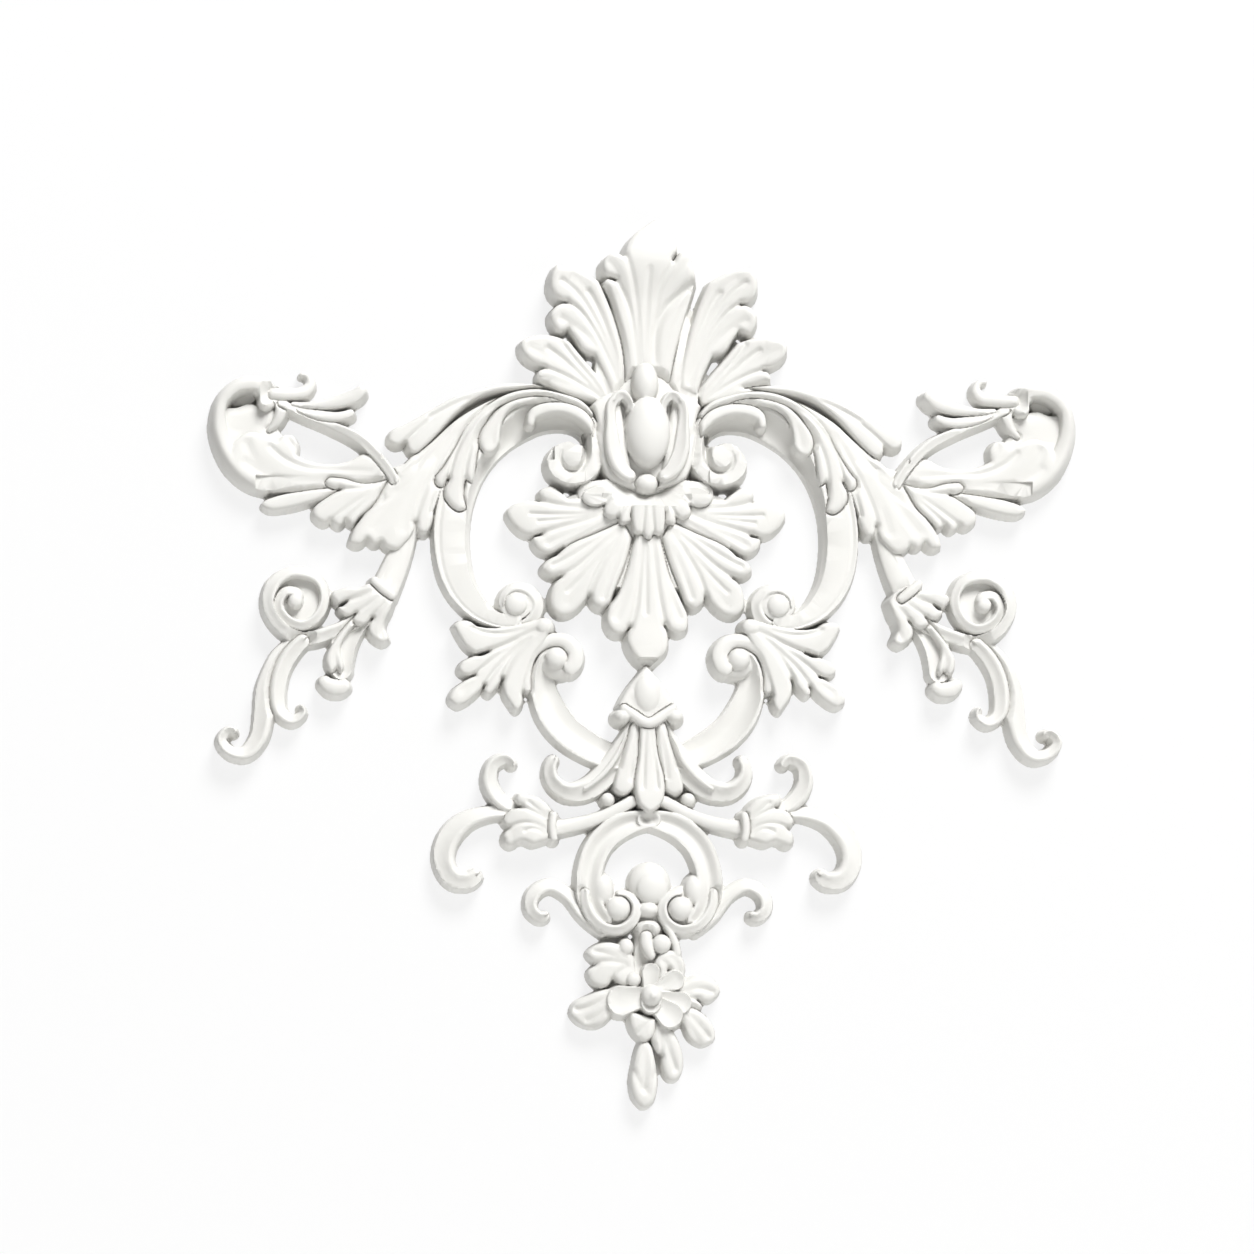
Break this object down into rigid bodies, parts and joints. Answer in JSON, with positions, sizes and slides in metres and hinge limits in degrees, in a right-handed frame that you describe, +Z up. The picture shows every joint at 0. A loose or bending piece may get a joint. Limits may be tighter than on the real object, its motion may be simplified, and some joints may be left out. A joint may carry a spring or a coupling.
{
  "type": "wall applique",
  "caption": "Flat-backed cast relief for a wall: an egg and leaf crest between C scrolls, leafy wings, hanging scrolls and a flower spray below.",
  "frame": {"origin": "on the flat back, behind the egg at the middle of the crest", "axes": "+Y into the wall, so the relief faces -Y; +Z up; +X to the right as seen from the front"},
  "size_m": [0.6003, 0.0339, 0.6138],
  "materials": {
    "white_casting": "smooth primed white, matt to satin"
  },
  "bodies": {
    "root": {"applique_casting": "white_casting"}
  },
  "joints": []
}
